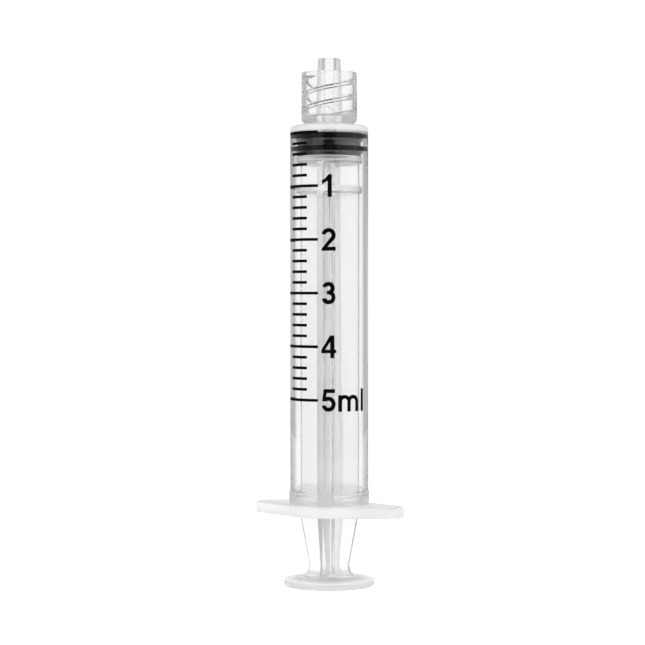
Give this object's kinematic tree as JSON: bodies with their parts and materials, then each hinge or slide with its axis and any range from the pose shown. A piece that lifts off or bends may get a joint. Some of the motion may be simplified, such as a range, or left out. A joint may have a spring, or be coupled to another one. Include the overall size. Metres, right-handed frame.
{
  "type": "oral dispensing syringe",
  "caption": "Clear dispensing syringe with a threaded lock collar round its cone, a finger flange, a cross-ribbed plunger and a black rubber gasket.",
  "frame": {"origin": "centre of the thumb rest's underside, where the standing syringe meets the table", "axes": "+Z along the syringe from the thumb rest to the tip; X along the finger flange; Y across it, with the printed figures on the -Y side"},
  "size_m": [0.0272, 0.0154, 0.0906],
  "materials": {
    "barrel_plastic": "clear moulded polypropylene, glossy",
    "plunger_plastic": "translucent natural polyethylene, satin gloss",
    "gasket_rubber": "black moulded rubber, lightly oiled",
    "scale_ink": "black printed ink"
  },
  "bodies": {
    "plunger": {"plunger_rod": "plunger_plastic"},
    "gasket": {"gasket": "gasket_rubber"},
    "barrel": {"barrel": "barrel_plastic", "major_graduations": "scale_ink", "minor_graduations": "scale_ink", "numerals": "scale_ink"}
  },
  "joints": [
    {"name": "rod_turn", "type": "hinge", "parent": "plunger", "child": "gasket", "pos_m": [0, 0, 0.0738], "axis": [0, 0, 1], "continuous": true},
    {"name": "plunger_travel", "type": "slide", "parent": "gasket", "child": "barrel", "axis": [0, 0, 1], "range_m": [0, 0.0585]}
  ]
}
